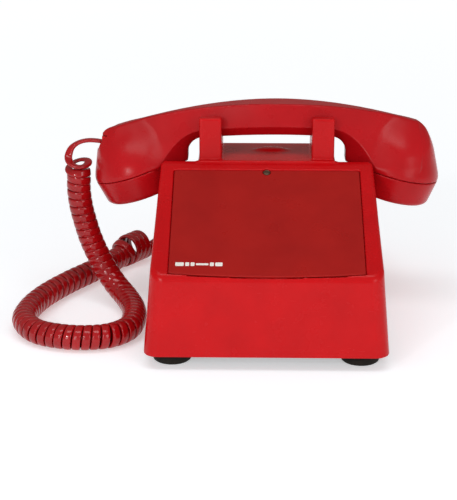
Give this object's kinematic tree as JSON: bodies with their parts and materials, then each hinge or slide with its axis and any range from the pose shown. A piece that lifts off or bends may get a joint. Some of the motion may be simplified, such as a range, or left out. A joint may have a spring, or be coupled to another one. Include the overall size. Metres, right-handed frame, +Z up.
{
  "type": "desk telephone",
  "caption": "Desk telephone without a dial: wedge housing with a blank recessed faceplate, handset lying in a cradle with posts, rubber feet and a curly handset cord.",
  "frame": {"origin": "on the table under the middle of the telephone, measured without its cord", "axes": "+X to the right of a person facing it, along the handset; +Y to the back; +Z up; the faceplate looks towards -Y and up"},
  "size_m": [0.2796, 0.2355, 0.1405],
  "materials": {
    "red_shell": "glossy moulded plastic",
    "red_panel": "smooth sheet, slightly duller",
    "red_cord": "glossy flexible jacket",
    "black_rubber": "matte",
    "black_plastic": "matte",
    "white_plastic": "satin",
    "clear_plastic": "translucent",
    "plated_steel": "zinc plated",
    "screw_steel": "plated, dulled",
    "painted_steel": "black enamel",
    "brass": "plain",
    "copper_wire": "enamelled wire",
    "board": "solder mask"
  },
  "bodies": {
    "base": {"base_plate": "painted_steel", "base_screw_front_left": "screw_steel", "base_screw_front_right": "screw_steel", "base_screw_rear_left": "screw_steel", "base_screw_rear_right": "screw_steel", "board_screw_1": "screw_steel", "board_screw_2": "screw_steel", "board_screw_3": "screw_steel", "board_screw_4": "screw_steel", "circuit_board": "board", "clapper_pin": "plated_steel", "cord_lead_base": "red_cord", "cord_plug_base": "clear_plastic", "curly_cord": "red_cord", "faceplate": "red_panel", "faceplate_screw": "screw_steel", "foot_front_left": "black_rubber", "foot_front_right": "black_rubber", "foot_rear_left": "black_rubber", "foot_rear_right": "black_rubber", "gong_left": "brass", "gong_right": "brass", "gong_screw_left": "screw_steel", "gong_screw_right": "screw_steel", "handset_cord_jack": "black_plastic", "hookswitch_bracket": "plated_steel", "hookswitch_pin": "plated_steel", "hookswitch_spring": "plated_steel", "housing": "red_shell", "line_capacitor": "black_plastic", "line_cord_jack": "black_plastic", "line_relay": "white_plastic", "line_transformer_core": "painted_steel", "line_transformer_winding": "copper_wire", "ringer_coil": "copper_wire", "ringer_frame": "plated_steel", "ringing_capacitor": "black_plastic", "switch_block": "black_plastic", "switch_leaf": "brass", "terminal_strip": "brass"},
    "handset": {"handset_shell": "red_shell", "transmitter_cap": "red_shell", "receiver_cap": "red_shell", "transmitter_capsule": "plated_steel", "receiver_capsule": "black_plastic", "transmitter_contact_plate": "black_plastic", "receiver_contact_plate": "black_plastic", "receiver_leads": "black_plastic", "handset_jack": "black_plastic", "cord_plug_handset": "clear_plastic", "cord_lead_handset": "red_cord"},
    "plunger_left": {"plunger_left": "clear_plastic"},
    "plunger_right": {"plunger_right": "clear_plastic"},
    "hook_lever": {"hookswitch_lever": "white_plastic"},
    "clapper": {"clapper": "brass"}
  },
  "joints": [
    {"name": "handset_lift", "type": "slide", "parent": "base", "child": "handset", "axis": [0, 0, 1], "range_m": [0, 0.075]},
    {"name": "plunger_left_rise", "type": "slide", "parent": "base", "child": "plunger_left", "axis": [0, 0, 1], "range_m": [0, 0.005]},
    {"name": "plunger_right_rise", "type": "slide", "parent": "base", "child": "plunger_right", "axis": [0, 0, 1], "range_m": [0, 0.005]},
    {"name": "hook_lever_turn", "type": "hinge", "parent": "base", "child": "hook_lever", "pos_m": [0, -0.008, 0.0835], "axis": [1, 0, 0], "range_deg": [0, 10.5]},
    {"name": "clapper_swing", "type": "hinge", "parent": "base", "child": "clapper", "pos_m": [0, 0.0395, 0.042], "axis": [0, 0, 1], "range_deg": [-2.3, 2.3], "stiffness_Nm_per_rad": 0.002}
  ],
  "couplings": [
    {"joint": "plunger_left_rise", "follows": "handset_lift", "ratio": 0.066},
    {"joint": "plunger_right_rise", "follows": "handset_lift", "ratio": 0.066},
    {"joint": "hook_lever_turn", "follows": "handset_lift", "rad_per_m": 2.4}
  ]
}
